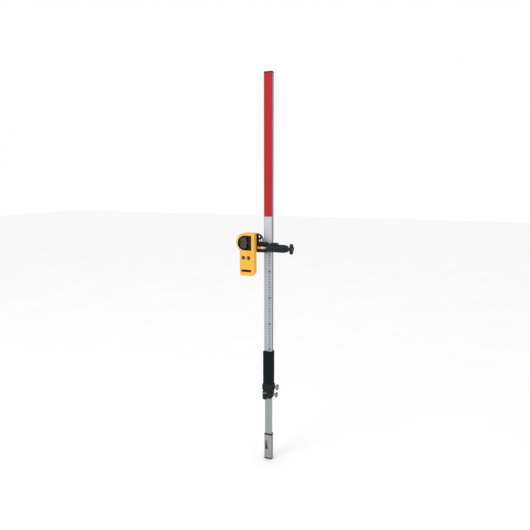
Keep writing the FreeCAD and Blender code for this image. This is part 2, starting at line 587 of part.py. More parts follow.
def half_shell(label, start, end, floor):
    """One half of the case: a dished shell between two depths, its floor at the end."""
    body = new_body(label)
    outline = sketch_on(body, "XZ_Plane", f"-({start})")
    draw_case(outline, "0")
    forward = value(end) < value(start)
    add_pad(body, outline, f"({start}) - ({end})" if forward else f"({end}) - ({start})", not forward)
    add_fillet(body, "4", lambda edge: runs(edge, "y") and (
        at(edge, x="case_right", z="head_z + head_r") or at(edge, x="case_left", z=junction())))
    add_fillet(body, "case_round", lambda edge: at(edge, y=end))
    cavity = sketch_on(body, "XZ_Plane", f"-({start})")
    draw_case(cavity, "case_wall")
    add_pocket(body, cavity, floor, forward)
    return body


def junction():
    """Height where the case's left side meets the round head."""
    reach = value("case_left") - value("head_x")
    return f"head_z - {math.sqrt(value('head_r') ** 2 - reach ** 2)!r}"


def front_shell():
    """Front half, with the window opening, a shallow panel and the two button holes."""
    body = half_shell("front_case", "seam_y - seam / 2", "case_front", "seam_y - seam / 2 - case_front - case_wall")
    body.Label = "front_case_blank"
    NODES.remove(body)
    window = new_body("window_cutter")
    NODES.remove(window)
    shape = sketch_on(window, "XZ_Plane", "-(case_front + 8)")
    draw_window(shape, "0")
    add_pad(window, shape, "10")
    spots = (("power_x", "button_z"), ("volume_x", "button_z"))
    holes = [rod("button_r + button_gap", "case_front - 1", "case_front + 4", spot, "Y") for spot in spots]
    panel = block("case_left + 4.5", "case_right - 5", "case_front - 1", "case_front + 0.5", "case_low + 9",
                  "window_z - 31")
    panel = rounded(panel, "4", lambda edge: runs(edge, "y"))
    badge = block("-86", "-49", "case_front", "case_front + 1", "760.6", "769.1")
    posts = [rod("3.3", "case_front + 1", "seam_y - seam / 2", spot, "Y") for spot in BOSS_SPOTS]
    pilots = [rod("1.25", "case_front + 4", "seam_y", spot, "Y") for spot in BOSS_SPOTS]
    node("front_shell", cut(join(body, *posts), window, panel, badge, *holes, *pilots))


def back_shell():
    """Back half, with the battery opening, the mounting boss and the screw posts."""
    body = half_shell("back_case", "seam_y + seam / 2", "case_back", "case_back - seam_y - seam / 2 - case_wall")
    body.Label = "back_case_blank"
    NODES.remove(body)
    posts = [rod("3.3", "seam_y + seam / 2", "case_back - 1", spot, "Y") for spot in BOSS_SPOTS]
    holes = [join(rod("1.5", "seam_y", "case_back + 1", spot, "Y"),
                  rod("2.7", "case_back - 1.8", "case_back + 1", spot, "Y")) for spot in BOSS_SPOTS]
    boss = rod("7.5", "case_back - 9", "case_back - 1", ("mount_x", "mount_z"), "Y")
    seat = rod("5", "case_back - 7", "case_back + 1", ("mount_x", "mount_z"), "Y")
    door = block("door_left - door_gap", "door_right + door_gap", "case_back - 4", "case_back + 1",
                 "door_low - door_gap", "door_high + door_gap")
    node("back_shell", cut(join(body, boss, *posts), seat, door, *holes))
    screws = [join(rod("1.2", "case_front + 5", "case_back - 1.5", spot, "Y"),
                   rod("2.6", "case_back - 1.75", "case_back - 0.6", spot, "Y")) for spot in BOSS_SPOTS]
    node("shell_screws", group(*screws))


def shell_gasket():
    """Rubber seal in the seam between the halves."""
    body = new_body("shell_gasket")
    outline = sketch_on(body, "XZ_Plane", "-(seam_y + seam / 2)")
    draw_case(outline, "0.2")
    add_pad(body, outline, "seam")
    middle = sketch_on(body, "XZ_Plane", "-(seam_y + seam / 2)")
    draw_case(middle, "case_wall - 0.3")
    add_pocket(body, middle, "seam", True)


def window_lens():
    body = new_body("window_lens")
    outline = sketch_on(body, "XZ_Plane", "-(case_front + 0.4 + lens)")
    draw_window(outline, "0.15")
    add_pad(body, outline, "lens")


def window_mask():
    """Black mask behind the lens, open over the display and over the light sensor."""
    front = "case_front + case_wall"
    blank = new_body("mask_blank")
    NODES.remove(blank)
    outline = sketch_on(blank, "XZ_Plane", f"-({front} + 1.4)")
    draw_window(outline, "-1", "window_right - 1")
    add_pad(blank, outline, "1.4")
    display = rounded(block("-91", "-67.6", f"{front} - 1", f"{front} + 2", "window_z - 20.5", "window_z + 20.5"), "6",
                      lambda edge: runs(edge, "y"))
    sensor = block("-58.5", "window_right - 0.8", f"{front} - 1", f"{front} + 2", "window_z - 24", "window_z + 24")
    node("window_mask", cut(blank, display, sensor))
    node("lcd_module", block("-92", "-65.6", f"{front} + 1.4", f"{front} + 5", "window_z - 23", "window_z + 23"))
    node("sensor_array", block("-60", "window_right", f"{front} + 1.4", f"{front} + 4", "window_z - 25.5",
                               "window_z + 25.5"))


def buttons():
    """Two press buttons, each with a flange that keeps it in the case."""
    for label, x in (("power_button", "power_x"), ("volume_button", "volume_x")):
        spot = (x, "button_z")
        stem = rod("button_r", "case_front - button_proud", "case_front + 4.8", spot, "Y")
        stem = rounded(stem, "0.8", lambda edge: at(edge, y="case_front - button_proud"))
        flange = rod("button_r + 1.3", "case_front + case_wall + 0.2", "case_front + case_wall + 1.6", spot, "Y")
        node(label, join(stem, flange))


def electronics():
    """Board, press switches, buzzer, battery and its contacts."""
    board = "case_front + 9.4"
    node("circuit_board", block("-83", "-46.6", board, f"{board} + 1.6", "804", "head_z + 23"))
    switches = [rod("2.6", "case_front + 6", board, (x, "button_z"), "Y") for x in ("power_x", "volume_x")]
    node("press_switches", group(*switches))
    node("buzzer", rod("9", f"{board} + 1.6", f"{board} + 7.6", ("-66", "832"), "Y"))
    cell = rounded(block("-78", "-51.5", "case_back - 20.2", "case_back - 2.7", "753", "801.5"), "2",
                   lambda edge: runs(edge, "z"))
    node("battery", cell)
    clip = block("-77", "-52.5", "case_back - 16", "case_back - 7", "803", "804")
    snaps = [rod("2.8", "801.5", "803", (x, "case_back - 11.5"), "Z") for x in ("-71", "-58.5")]
    node("battery_contacts", join(clip, *snaps))


def battery_door():
    """Hinged door flush with the back, turning on a rounded lower edge."""
    pivot = ("case_back - door_thick / 2", "door_low + 1")
    panel = block("door_left", "door_right", "case_back - door_thick", "case_back", "door_low + 1", "door_high")
    barrel = rod("door_thick / 2", "door_left", "door_right", pivot)
    catch = block("-67", "-62", "case_back", "case_back + 0.8", "door_high - 4", "door_high - 1")
    node("battery_door", join(panel, barrel, catch))


def badge_plate():
    node("badge_plate", block("-85.9", "-49.1", "case_front - 0.2", "case_front + 1", "760.7", "769"))


outer_tube()
inner_tube()
face_strips()
top_cap()
inner_glide()
foot()
grip_sleeve()
collar_housing()
upper_lock()
lower_lock()
clamp_bracket()
clamp_rods()
sliding_jaw()
jaw_pads()
star_knob()
mount_screw()
front_shell()
back_shell()
shell_gasket()
window_lens()
window_mask()
buttons()
electronics()
battery_door()
badge_plate()

DOC.recompute()
broken = [thing.Label for thing in DOC.Objects if {"Invalid", "Error"} & set(thing.State)]
broken += [thing.Label for thing in NODES if thing.Shape.isNull() or not thing.Shape.isValid()]
if broken:
    raise RuntimeError(f"failed: {broken}")
os.makedirs("parts", exist_ok=True)
for thing in NODES:
    thing.Shape.exportStep(f"parts/{thing.Label}.step")
print(f"{len(NODES)} sub-parts written")
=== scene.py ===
import json
import math

import bmesh
import bpy
from mathutils import Matrix, Vector


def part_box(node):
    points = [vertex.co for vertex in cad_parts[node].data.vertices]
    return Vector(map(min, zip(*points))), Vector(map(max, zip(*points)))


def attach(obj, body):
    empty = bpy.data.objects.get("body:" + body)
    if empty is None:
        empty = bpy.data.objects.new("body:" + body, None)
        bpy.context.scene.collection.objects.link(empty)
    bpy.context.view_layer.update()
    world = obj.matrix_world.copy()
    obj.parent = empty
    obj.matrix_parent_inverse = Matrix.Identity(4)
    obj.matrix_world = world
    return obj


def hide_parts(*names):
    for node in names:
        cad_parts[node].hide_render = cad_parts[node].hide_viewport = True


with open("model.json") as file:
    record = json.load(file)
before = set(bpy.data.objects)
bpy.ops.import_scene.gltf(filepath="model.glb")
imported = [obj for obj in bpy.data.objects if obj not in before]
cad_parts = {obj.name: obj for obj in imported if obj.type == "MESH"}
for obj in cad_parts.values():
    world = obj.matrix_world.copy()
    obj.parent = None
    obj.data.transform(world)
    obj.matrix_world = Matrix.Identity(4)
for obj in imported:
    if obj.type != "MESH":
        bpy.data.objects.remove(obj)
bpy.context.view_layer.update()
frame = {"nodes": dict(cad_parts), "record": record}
NODES = frame["nodes"]
MM = 0.001
INK_THICK = 0.03 * MM


# Node helpers for materials. Textures use object coordinates, which are the row frame in metres.


class Surface:
    """A principled material that is built up from small texture steps."""

    def __init__(self, name, colour, roughness, metallic=0.0, **sockets):
        self.material = bpy.data.materials.new(name)
        self.material.use_nodes = True
        self.tree = self.material.node_tree
        self.shader = self.tree.nodes["Principled BSDF"]
        self.shader.inputs["Base Color"].default_value = (*colour, 1.0)
        self.shader.inputs["Roughness"].default_value = roughness
        self.shader.inputs["Metallic"].default_value = metallic
        self.shader.inputs["Specular IOR Level"].default_value = 0.5 if metallic else 0.3
        for socket, amount in sockets.items():
            self.shader.inputs[socket.replace("_", " ")].default_value = amount
        self.place = self.add("ShaderNodeTexCoord").outputs["Object"]
        self.colour = None
        self.normal = None

    def add(self, kind, **settings):
        node = self.tree.nodes.new(kind)
        for key, setting in settings.items():
            if hasattr(node, key):
                setattr(node, key, setting)
            else:
                node.inputs[key].default_value = setting
        return node

    def link(self, output, socket):
        self.tree.links.new(output, socket)

    def stretched(self, scale):
        """Object coordinates scaled per axis, so that a texture runs along one of them."""
        mapping = self.add("ShaderNodeMapping")
        mapping.inputs["Scale"].default_value = scale
        self.link(self.place, mapping.inputs["Vector"])
        return mapping.outputs["Vector"]

    def noise(self, scale, detail=3.0, vector=None):
        texture = self.add("ShaderNodeTexNoise", Scale=scale, Detail=detail)
        self.link(vector or self.place, texture.inputs["Vector"])
        return texture.outputs["Fac"]

    def cells(self, scale):
        texture = self.add("ShaderNodeTexVoronoi", Scale=scale)
        self.link(self.place, texture.inputs["Vector"])
        return texture.outputs["Distance"]

    def math(self, operation, first, second, third=None):
        node = self.add("ShaderNodeMath", operation=operation)
        for socket, source in zip(node.inputs, (first, second, third)):
            if isinstance(source, (int, float)):
                socket.default_value = source
            elif source is not None:
                self.link(source, socket)
        return node.outputs["Value"]

    def ramp(self, fac, low, high):
        """0 below low, 1 above high, smooth between."""
        node = self.add("ShaderNodeMapRange", interpolation_type="SMOOTHSTEP")
        node.inputs["From Min"].default_value = low
        node.inputs["From Max"].default_value = high
        self.link(fac, node.inputs["Value"])
        return node.outputs["Result"]

    def tint(self, fac, colour):
        """Blend the base colour towards another where fac is 1."""
        mix = self.add("ShaderNodeMix", data_type="RGBA")
        self.link(fac, mix.inputs["Factor"])
        base = self.shader.inputs["Base Color"]
        below, above = [socket for socket in mix.inputs if socket.type == "RGBA"]
        if self.colour is None:
            below.default_value = base.default_value[:]
        else:
            self.link(self.colour, below)
        above.default_value = (*colour, 1.0)
        self.colour = [socket for socket in mix.outputs if socket.type == "RGBA"][0]
        self.link(self.colour, base)
        return self

    def roughen(self, fac, low, high):
        node = self.add("ShaderNodeMapRange")
        node.inputs["To Min"].default_value = low
        node.inputs["To Max"].default_value = high
        self.link(fac, node.inputs["Value"])
        self.link(node.outputs["Result"], self.shader.inputs["Roughness"])
        return self

    def bump(self, fac, strength, distance):
        node = self.add("ShaderNodeBump", Strength=strength, Distance=distance)
        self.link(fac, node.inputs["Height"])
        if self.normal is not None:
            self.link(self.normal, node.inputs["Normal"])
        self.normal = node.outputs["Normal"]
        self.link(self.normal, self.shader.inputs["Normal"])
        return self

    def axis(self, letter):
        split = self.add("ShaderNodeSeparateXYZ")
        self.link(self.place, split.inputs["Vector"])
        return split.outputs[letter.upper()]


def moulded(name, colour, roughness, grain=2600, depth=0.25, lighter=1.5, shine=0.16):
    """Moulded plastic: fine spark texture, faint flow marks and slightly polished high spots."""
    surface = Surface(name, colour, roughness, Specular_IOR_Level=shine)
    grains = surface.noise(grain, 2.0)
    cloud = surface.noise(38, 4.0)
    surface.tint(surface.ramp(cloud, 0.45, 0.8), tuple(min(1.0, part * lighter) for part in colour))
    surface.roughen(cloud, roughness - 0.08, roughness + 0.1)
    surface.bump(grains, depth, 0.00012)
    return surface


def metal(name, colour, roughness, along=(1, 1, 1), grain=900, depth=0.12):
    """Machined or drawn metal: fine lines along one direction and dull patches from handling."""
    surface = Surface(name, colour, roughness, 1.0)
    lines = surface.noise(grain, 3.0, surface.stretched(along))
    patches = surface.noise(22, 5.0)
    surface.tint(surface.ramp(patches, 0.5, 0.85), tuple(part * 0.82 for part in colour))
    surface.roughen(patches, roughness - 0.05, roughness + 0.12)
    surface.bump(lines, depth, 0.00008)
    return surface


def outer_section_material():
    """Satin anodised section whose front corners are red wherever the red tape wraps them; below the tape
    the front is lightened with a painted highlight.
    """
    surface = metal("silver_anodised", (0.215, 0.224, 0.235), 0.42, (1, 1, 0.02), 1400)
    red_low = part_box("red_face_strip")[0].z
    front = surface.math("SUBTRACT", 1.0, surface.ramp(surface.axis("y"), -0.0083, -0.0076))
    above = surface.ramp(surface.axis("z"), red_low - 0.0004, red_low + 0.0004)
    painted = surface.math("MULTIPLY", front, above)
    surface.tint(painted, (0.3, 0.006, 0.009))
    surface.link(surface.math("SUBTRACT", 1.0, painted), surface.shader.inputs["Metallic"])
    # Painted highlight: below the red, the front face and its corners are lighter than the sides, as if lit
    # from the front.
    painted_front_highlight = surface.math("MULTIPLY", front, surface.math("SUBTRACT", 1.0, above))
    surface.tint(painted_front_highlight, (0.5, 0.515, 0.54))
    return surface


def tape_material(name, colour, faded):
    """Printed film: satin, with a soft orange-peel and a few scuffs along the staff."""
    surface = Surface(name, colour, 0.5, Specular_IOR_Level=0.12)
    scuffs = surface.noise(240, 4.0, surface.stretched((1, 1, 0.06)))
    surface.tint(surface.ramp(scuffs, 0.62, 0.8), faded)
    surface.tint(surface.ramp(surface.noise(9, 3.0), 0.4, 0.75), tuple(part * 0.94 for part in colour))
    surface.bump(surface.noise(1500, 2.0), 0.1, 0.00006)
    return surface


def scale_tape_material():
    """Printed film that is a little whiter above the clamp, where no numbers are printed."""
    surface = tape_material("scale_tape", (0.4, 0.425, 0.46), (0.34, 0.36, 0.39))
    surface.tint(surface.ramp(surface.axis("z"), 0.78, 0.93), (0.53, 0.535, 0.575))
    return surface


def foam_material():
    """Closed-cell foam: small pits and a dusty bloom."""
    surface = Surface("foam", (0.0065, 0.0115, 0.0125), 0.9, Specular_IOR_Level=0.08)
    surface.tint(surface.ramp(surface.noise(160, 5.0), 0.5, 0.8), (0.012, 0.019, 0.021))
    surface.bump(surface.cells(1300), 0.35, 0.0003)
    surface.bump(surface.noise(260, 3.0), 0.2, 0.0004)
    return surface


def foot_material():
    """Satin silver casting with painted shade on its right side, speckled and rubbed grey near the sole."""
    surface = Surface("foot_metal", (0.32, 0.318, 0.345), 0.45, 0.3)
    height = surface.axis("z")
    # Painted shade: the right side of the casting is darkened where less light falls on it.
    surface.tint(surface.ramp(surface.axis("x"), 0.0143, 0.0151), (0.13, 0.135, 0.14))
    worn = surface.math("MULTIPLY", surface.ramp(surface.noise(420, 4.0), 0.42, 0.66),
                        surface.math("SUBTRACT", 1.0, surface.ramp(height, 0.03, 0.055)))
    surface.tint(worn, (0.2, 0.205, 0.21))
    surface.bump(surface.noise(900, 3.0), 0.2, 0.0001)
    return surface


def label_material():
    """Plain printed label: dark, with a painted reflection in olive past a slanted edge, and a pale right
    border.
    """
    surface = Surface("label", (0.03, 0.032, 0.032), 0.4, Specular_IOR_Level=0.15)
    low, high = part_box("foot_label")
    slant = surface.math("MULTIPLY_ADD", surface.axis("z"), 0.22, surface.axis("x"))
    edge = low.x + 0.0065 + 0.22 * (low.z + high.z) / 2
    # Painted reflection: past the slanted edge the dark face is lightened to olive.
    surface.tint(surface.ramp(slant, edge - 0.0008, edge + 0.0008), (0.24, 0.245, 0.2))
    right = high.x - 0.0042
    surface.tint(surface.ramp(surface.axis("x"), right, right + 0.0006), (0.33, 0.335, 0.3))
    surface.tint(surface.ramp(surface.noise(700, 2.0), 0.62, 0.7), (0.07, 0.07, 0.06))
    surface.bump(surface.noise(500, 2.0), 0.08, 0.0001)
    return surface


def display_material():
    """Liquid crystal panel: dark grey and faintly mottled."""
    surface = Surface("display", (0.085, 0.086, 0.08), 0.4, Specular_IOR_Level=0.1)
    surface.tint(surface.ramp(surface.noise(90, 3.0), 0.4, 0.75), (0.108, 0.109, 0.1))
    surface.bump(surface.noise(2000, 1.0), 0.04, 0.00005)
    return surface


def glossy_dark(name, colour, roughness):
    """Smooth plate, glass or print with faint waves and lighter clouds."""
    surface = Surface(name, colour, roughness, Specular_IOR_Level=0.12)
    surface.tint(surface.ramp(surface.noise(60, 4.0), 0.55, 0.85), tuple(part * 1.6 for part in colour))
    surface.bump(surface.noise(300, 2.0), 0.03, 0.00005)
    return surface


def lens_material():
    """Clear window with faint smears."""
    surface = Surface("lens", (0.88, 0.9, 0.92), 0.06, Specular_IOR_Level=0.15)
    surface.shader.inputs["Transmission Weight"].default_value = 1.0
    surface.shader.inputs["IOR"].default_value = 1.12
    surface.roughen(surface.noise(200, 3.0), 0.04, 0.1)
    return surface


def board_material():
    """Solder mask with a regular pattern of raised pads."""
    surface = Surface("board", (0.01, 0.085, 0.03), 0.35)
    surface.tint(surface.ramp(surface.cells(420), 0.28, 0.3), (0.02, 0.16, 0.06))
    surface.bump(surface.cells(420), 0.2, 0.0001)
    return surface


MATERIALS = {
    "silver_anodised": outer_section_material(),
    "grey_anodised": metal("grey_anodised", (0.335, 0.372, 0.368), 0.4, (1, 1, 0.02), 1400),
    "red_tape": tape_material("red_tape", (0.46, 0.017, 0.024), (0.4, 0.022, 0.03)),
    "scale_tape": scale_tape_material(),
    "black_plastic": moulded("black_plastic", (0.009, 0.012, 0.0135), 0.5),
    "foam": foam_material(),
    "dark_rubber": moulded("dark_rubber", (0.014, 0.015, 0.016), 0.75, 1800, 0.3),
    "white_plastic": moulded("white_plastic", (0.72, 0.72, 0.69), 0.4, lighter=1.05, shine=0.4),
    "steel": metal("steel", (0.22, 0.218, 0.228), 0.3, (1, 1, 1), 1200),
    "brass": metal("brass", (0.66, 0.55, 0.34), 0.32, (1, 1, 1), 1200),
    "foot_metal": foot_material(),
    "label": label_material(),
    "arm_plastic": moulded("arm_plastic", (0.008, 0.0125, 0.015), 0.45, 1900, 0.3, 1.7),
    "knob_plastic": moulded("knob_plastic", (0.013, 0.0155, 0.018), 0.45, 1900, 0.25, 1.6),
    "yellow_plastic": moulded("yellow_plastic", (0.86, 0.43, 0.04), 0.45, 2200, 0.2, 1.06, 0.3),
    "lens": lens_material(),
    "mask": glossy_dark("mask", (0.006, 0.005, 0.009), 0.2),
    "display": display_material(),
    "sensor": glossy_dark("sensor", (0.014, 0.03, 0.036), 0.25),
    "board": board_material(),
    "cell": glossy_dark("cell", (0.05, 0.05, 0.055), 0.35),
    "badge": glossy_dark("badge", (0.012, 0.013, 0.022), 0.3),
    "button_rubber": moulded("button_rubber", (0.011, 0.011, 0.013), 0.5, 1500, 0.15),
    "ink": glossy_dark("ink", (0.018, 0.02, 0.028), 0.5),
    "pale_ink": glossy_dark("pale_ink", (0.62, 0.62, 0.6), 0.5),
    "lcd_ink": glossy_dark("lcd_ink", (0.066, 0.067, 0.063), 0.4),
}
SLOT_OF = {row["node"]: row["material_slot"] for row in frame["record"]["subparts"]}
for name, thing in NODES.items():
    material = MATERIALS[SLOT_OF[name]].material
    if not thing.data.materials:
        thing.data.materials.append(material)
    for index in range(len(thing.material_slots)):
        thing.material_slots[index].link = "OBJECT"
        thing.material_slots[index].material = material


# Mesh helpers


def add_piece(name, mesh, slot, body, smooth=True, *replaced):
    """Link a finished mesh as a piece of one body."""
    piece = bpy.data.objects.new(name, mesh)
    bpy.context.scene.collection.objects.link(piece)
    mesh.materials.append(MATERIALS[slot].material)
    if smooth:
        mesh.shade_smooth()
    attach(piece, body)
    if replaced:
        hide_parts(*replaced)
    return piece


def mesh_from(name, points, faces):
    mesh = bpy.data.meshes.new(name)
    mesh.from_pydata([tuple(point) for point in points], [], faces)
    mesh.validate()
    return mesh


def lathe(name, profile, centre, segments, ripple=None):
    """Turn a profile of (along, radius) about the X axis; ripple may change the radius point by point."""
    points, faces = [], []
    for along, radius in profile:
        for step in range(segments):
            angle = 2 * math.pi * step / segments
            reach = ripple(angle, along, radius) if ripple else radius
            across = (reach * math.cos(angle), reach * math.sin(angle))
            points.append(Vector(centre) + Vector((along, *across)))
    rings = len(profile)
    for ring in range(rings - 1):
        for step in range(segments):
            following = (step + 1) % segments
            low, high = ring * segments, (ring + 1) * segments
            faces.append((low + step, low + following, high + following, high + step))
    faces.append(tuple(reversed(range(segments))))
    faces.append(tuple(range((rings - 1) * segments, rings * segments)))
    return mesh_from(name, points, faces)


def rounded_ring(width, depth, radius, steps=6):
    """Points round a rectangle with rounded corners, anticlockwise."""
    points = []
    for corner, (sx, sy) in enumerate(((1, 1), (-1, 1), (-1, -1), (1, -1))):
        middle = (sx * (width / 2 - radius), sy * (depth / 2 - radius))
        for step in range(steps + 1):
            angle = math.pi / 2 * (corner + step / steps)
            points.append((middle[0] + radius * math.cos(angle), middle[1] + radius * math.sin(angle)))
    return points


def stacked(name, rings):
    """Skin over a closed loop of rings that each have the same number of points."""
    count = len(rings[0])
    points = [point for ring in rings for point in ring]
    faces = []
    for index in range(len(rings)):
        low, high = index * count, (index + 1) % len(rings) * count
        for step in range(count):
            following = (step + 1) % count
            faces.append((low + step, low + following, high + following, high + step))
    return mesh_from(name, points, faces)


def box_faces(builder, low, high):
    """Add one box to a bmesh."""
    corners = [builder.verts.new((x, y, z)) for x in (low[0], high[0]) for y in (low[1], high[1])
               for z in (low[2], high[2])]
    for face in ((0, 1, 3, 2), (4, 6, 7, 5), (0, 4, 5, 1), (2, 3, 7, 6), (0, 2, 6, 4), (1, 5, 7, 3)):
        builder.faces.new([corners[index] for index in face])


def boxes(name, spans):
    builder = bmesh.new()
    for low, high in spans:
        box_faces(builder, low, high)
    mesh = bpy.data.meshes.new(name)
    builder.to_mesh(mesh)
    builder.free()
    return mesh


# Staff


def foam_grip():
    """Foam sleeve: rounded corners, a rolled top lip and a slightly soft surface."""
    low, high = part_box("grip_sleeve")
    tube_low, tube_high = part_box("outer_tube")
    width, depth = high.x - low.x, high.y - low.y
    inner_w, inner_d = tube_high.x - tube_low.x + 0.2 * MM, tube_high.y - tube_low.y + 0.2 * MM
    levels = 60
    rings = []
    for step in range(levels + 1):
        share = step / levels
        z = low.z + (high.z - low.z) * share
        lip = 1.6 * MM * max(0.0, 1 - (high.z - z) / (2.4 * MM)) ** 2
        wave = 0.12 * MM * (math.sin(share * 23) + math.sin(share * 57 + 1)) - 0.24 * MM
        ring = rounded_ring(width - 2 * lip + wave, depth - 2 * lip + wave, 2.6 * MM)
        rings.append([(x, y, z) for x, y in ring])
    inside = rounded_ring(inner_w, inner_d, 1.2 * MM)
    rings.append([(x, y, high.z) for x, y in inside])
    rings.append([(x, y, low.z) for x, y in inside])
    piece = add_piece("foam_grip", stacked("foam_grip", rings), "foam", "staff", True, "grip_sleeve")


def scale_marks():
    """Centimetre numbers with a bold one each ten, and ruled ticks down both edges of the scale."""
    low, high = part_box("scale_strip")
    front = low.y - INK_THICK
    first_number, numbers_printed, first_height = 20, 41, 0.4586
    builder = bmesh.new()
    for step in range(numbers_printed):
        z = step * 0.01 + first_height
        ten = step % 10 == 0
        curve = bpy.data.curves.new("digits", "FONT")
        curve.body = str(first_number + step)
        curve.align_x, curve.align_y = "CENTER", "CENTER"
        curve.size = (10.5 if ten else 7.6) * MM
        curve.offset = (0.34 if ten else 0.13) * MM
        text = bpy.data.objects.new("digits", curve)
        text.matrix_world = Matrix.Translation((6.3 * MM, front, z)) @ Matrix.Rotation(math.pi / 2, 4, "X")
        mesh = bpy.data.meshes.new_from_object(text)
        mesh.transform(text.matrix_world)
        builder.from_mesh(mesh)
        bpy.data.objects.remove(text)
        bpy.data.meshes.remove(mesh)
    numbers = bpy.data.meshes.new("scale_numbers")
    builder.to_mesh(numbers)
    builder.free()
    add_piece("scale_numbers", numbers, "ink", "staff", False)
    spans = []
    left, right = low.x + 0.2 * MM, high.x - 0.2 * MM
    for millimetre in range(460, 862):
        z = (millimetre - 1.4) * MM
        ten = millimetre % 100 == 60
        long = (5.5 if ten else {0: 4.2, 5: 2.6}.get(millimetre % 10, 1.5)) * MM
        thick = (0.3 if ten else 0.14) * MM
        spans.append(((left, front, z - thick), (left + long, low.y, z + thick)))
        if millimetre % 10 == 0:
            spans.append(((right - 1.8 * MM, front, z - thick), (right, low.y, z + thick)))
    add_piece("scale_ticks", boxes("scale_ticks", spans), "ink", "staff", False)


def thumb_head(name, node, body):
    """Turned head: straight knurl round the rim, rounded shoulders, dished face and a centre stud."""
    low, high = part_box(node)
    radius, thick = (high.z - low.z) / 2, high.x - low.x
    centre = (low.x, (low.y + high.y) / 2, (low.z + high.z) / 2)
    inner = radius - 3.2 * MM
    profile = [(0, 0.5 * MM), (0, radius - 2 * MM), (0.2 * MM, radius - 0.9 * MM), (0.9 * MM, radius),
               (thick - 0.9 * MM, radius), (thick - 0.25 * MM, radius - 0.5 * MM),
               (thick, radius - 1.2 * MM), (thick, inner + 0.4 * MM), (thick - 0.3 * MM, inner),
               (thick - 1.1 * MM, inner - 0.3 * MM),
               (thick - 1.2 * MM, 3.2 * MM), (thick - 1.1 * MM, 2.7 * MM), (thick - 0.4 * MM, 2.5 * MM),
               (thick - 0.3 * MM, 0.4 * MM)]
    teeth = 48

    def knurl(angle, along, reach):
        on_rim = 0.6 * MM < along < thick - 0.6 * MM and reach > radius - 0.2 * MM
        return reach - 0.35 * MM * (0.5 + 0.5 * math.cos(teeth * angle)) if on_rim else reach

    add_piece(name, lathe(name, profile, centre, teeth * 4, knurl), "steel", body, True, node)


def threaded(name, node, radius, start, end, collar, body, slot):
    """A threaded rod along X with a plain shoulder."""
    low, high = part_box(node)
    centre = Vector((0, (low.y + high.y) / 2, (low.z + high.z) / 2))
    pitch, segments, per_turn = 2.0 * MM, 32, 8
    turns = int((end - start) / pitch)
    points, faces = [], []
    rows = turns * per_turn + 1
    for row in range(rows):
        x = start + row * pitch / per_turn
        for step in range(segments):
            angle = 2 * math.pi * step / segments
            phase = (x / pitch - step / segments) % 1.0
            flank = abs(phase - 0.5) * 2
            depth = 0.75 * MM * min(1.0, max(0.0, 1.4 * flank - 0.2))
            reach = radius - depth
            points.append(centre + Vector((x, reach * math.cos(angle), reach * math.sin(angle))))
    for row in range(rows - 1):
        for step in range(segments):
            following = (step + 1) % segments
            low_row, high_row = row * segments, (row + 1) * segments
            faces.append((low_row + step, low_row + following, high_row + following, high_row + step))
    faces.append(tuple(reversed(range(segments))))
    faces.append(tuple(range((rows - 1) * segments, rows * segments)))
    builder = bmesh.new()
    builder.from_mesh(mesh_from(name, points, faces))
    shoulder = lathe(name, collar, centre, 48)
    builder.from_mesh(shoulder)
    mesh = bpy.data.meshes.new(name)
    builder.to_mesh(mesh)
    builder.free()
    add_piece(name, mesh, slot, body, True, node)


def spindle():
    """Threaded spindle with its collar and plain sleeve."""
    low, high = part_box("clamp_spindle")
    start = low.x + 3 * MM
    radius, sleeve_end = (high.z - low.z) / 2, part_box("spindle_bush")[0].x
    sleeve, rod_radius = radius - 0.5 * MM, 3.45 * MM
    sleeve_profile = [
        (low.x, 0.5 * MM), (low.x, rod_radius), (start, rod_radius), (start, radius - 0.5 * MM),
        (start + 0.5 * MM, radius), (start + 2.5 * MM, radius), (start + 3 * MM, sleeve - 0.6 * MM),
        (start + 3.6 * MM, sleeve - 0.6 * MM), (start + 4 * MM, sleeve), (sleeve_end - 0.6 * MM, sleeve),
        (sleeve_end - 0.1 * MM, sleeve - 0.5 * MM), (sleeve_end - 0.1 * MM, 0.5 * MM)]
    threaded("threaded_spindle", "clamp_spindle", rod_radius, sleeve_end - 0.2 * MM, high.x, sleeve_profile,
             "carriage", "brass")


def star_knob():
    """Four-lobed knob with rounded shoulders, a dished cap and a plain neck."""
    low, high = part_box("star_knob")
    axis_low, axis_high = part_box("knob_insert")
    centre = (0, (axis_low.y + axis_high.y) / 2, (axis_low.z + axis_high.z) / 2)
    head_thick = 13 * MM
    start, end = high.x - head_thick, high.x
    full, hub = (high.z - low.z) / 2, 5.4 * MM
    profile = [(low.x, 4.8 * MM), (low.x, hub - 0.3 * MM), (low.x + 0.3 * MM, hub), (start - 0.5 * MM, hub),
               (start, hub + 1 * MM), (start + 0.2 * MM, full * 0.6), (start + 0.7 * MM, full * 0.84),
               (start + 1.8 * MM, full * 0.96), (start + 3.4 * MM, full), (end - 4 * MM, full),
               (end - 2.2 * MM, full * 0.96), (end - 1 * MM, full * 0.85), (end - 0.3 * MM, full * 0.65),
               (end - 0.1 * MM, full * 0.42), (end - 0.8 * MM, full * 0.36), (end - 1.0 * MM, 0.5 * MM)]

    def lobes(angle, along, reach):
        if reach < full * 0.45 or along < start - 0.1 * MM:
            return reach
        wave = 0.5 + 0.5 * math.cos(4 * angle)
        return reach * (1 - 0.4 * (1 - wave) ** 1.6 * min(1.0, (reach / full - 0.45) * 4))

    mesh = lathe("lobed_knob", profile, centre, 160, lobes)
    add_piece("lobed_knob", mesh, "knob_plastic", "knob", True, "star_knob")


